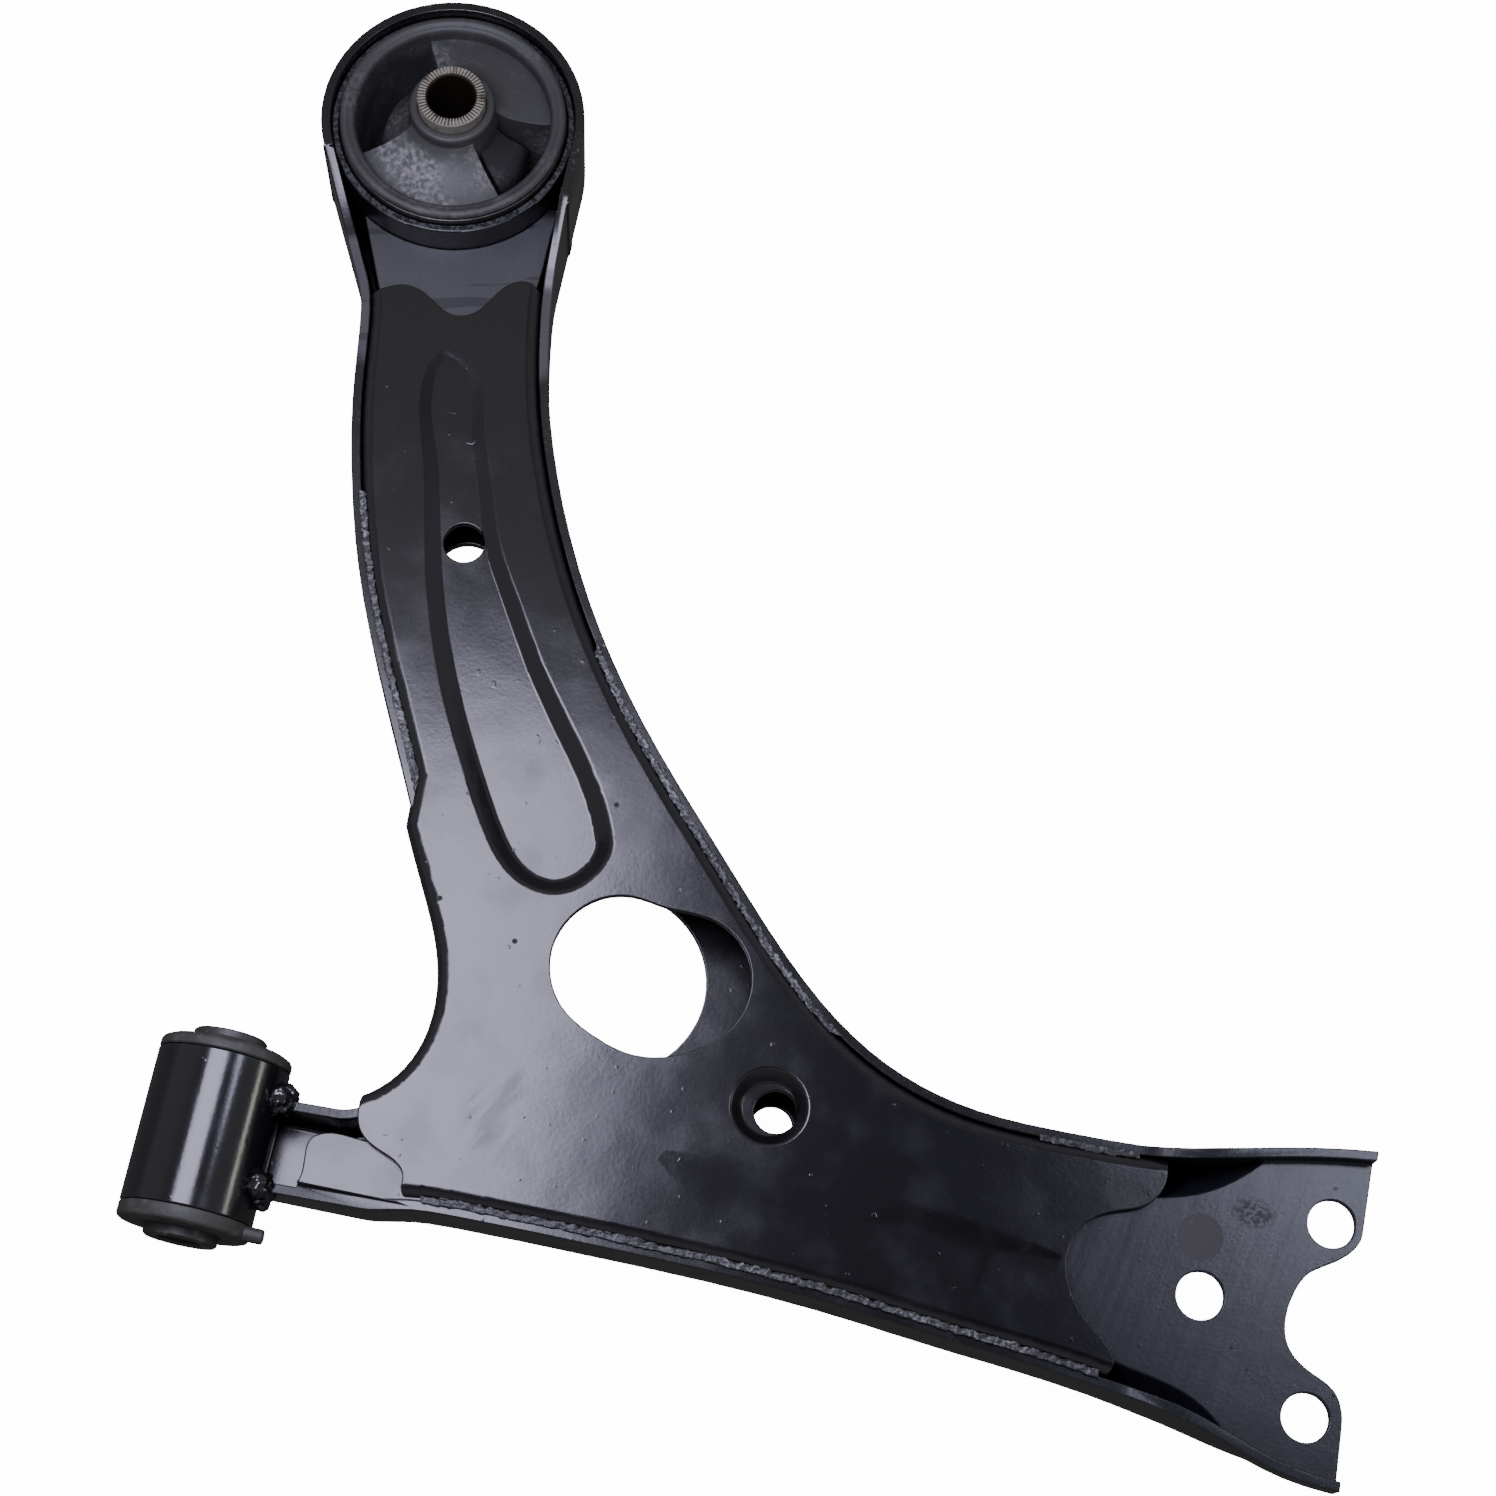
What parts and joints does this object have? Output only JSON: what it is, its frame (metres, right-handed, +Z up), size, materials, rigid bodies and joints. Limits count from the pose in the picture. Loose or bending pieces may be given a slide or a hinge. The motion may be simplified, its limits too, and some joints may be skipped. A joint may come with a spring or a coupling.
{
  "type": "control arm",
  "caption": "Stamped steel front lower control arm: pan and cover welded into a box, a horizontal bush, an upright voided bush, and a bolt-on ball joint pad with a half-round notch.",
  "frame": {"origin": "centre of the front bush bore, on the arm's swing axis", "axes": "+Y along the swing axis from the front bush to the rear bush, +X outboard to the ball joint pad, +Z up along the rear bush bore"},
  "size_m": [0.3533, 0.3787, 0.064],
  "materials": {
    "pan_steel": "gloss black coat",
    "plate_steel": "gloss black coat",
    "tube_steel": "gloss black coat",
    "weld_metal": "rough weld under black coat",
    "inner_sleeve_steel": "oiled bare steel",
    "outer_sleeve_steel": "phosphated steel",
    "rear_bush_rubber": "matt moulded rubber",
    "front_bush_rubber": "matt moulded rubber"
  },
  "bodies": {
    "arm": {"front_bush_front_flange": "front_bush_rubber", "front_bush_outer_shell": "outer_sleeve_steel", "front_bush_rear_flange": "front_bush_rubber", "front_bush_rubber": "front_bush_rubber", "front_tube": "tube_steel", "lower_pan": "pan_steel", "rear_bush_inner_spoke": "rear_bush_rubber", "rear_bush_outer_sleeve": "outer_sleeve_steel", "rear_bush_outer_spoke": "rear_bush_rubber", "rear_bush_rim": "rear_bush_rubber", "rear_ring": "tube_steel", "upper_plate": "plate_steel", "weld_front_seam": "weld_metal", "weld_inboard_seam": "weld_metal", "weld_outboard_seam": "weld_metal", "weld_outer_end_seam": "weld_metal", "weld_ring": "weld_metal", "weld_tube_front_ear": "weld_metal", "weld_tube_rear_ear": "weld_metal"},
    "front_pin": {"front_bush_inner_sleeve": "inner_sleeve_steel"},
    "rear_hub": {"rear_bush_hub": "rear_bush_rubber"},
    "rear_pin": {"rear_bush_inner_sleeve": "inner_sleeve_steel"}
  },
  "joints": [
    {"name": "front_bush_twist", "type": "hinge", "parent": "arm", "child": "front_pin", "pos_m": [0, 0, 0], "axis": [0, 1, 0], "range_deg": [-12, 12], "stiffness_Nm_per_rad": 12},
    {"name": "rear_bush_tilt", "type": "hinge", "parent": "arm", "child": "rear_hub", "pos_m": [0, 0.3058, 0], "axis": [0, 1, 0], "range_deg": [-12, 12], "stiffness_Nm_per_rad": 6, "deforming": ["rear_bush_outer_spoke", "rear_bush_inner_spoke"]},
    {"name": "rear_bush_twist", "type": "hinge", "parent": "rear_hub", "child": "rear_pin", "pos_m": [0, 0.3058, 0], "axis": [0, 0, 1], "range_deg": [-5, 5], "stiffness_Nm_per_rad": 10}
  ],
  "couplings": [
    {"joint": "rear_bush_tilt", "follows": "front_bush_twist", "ratio": 1}
  ]
}
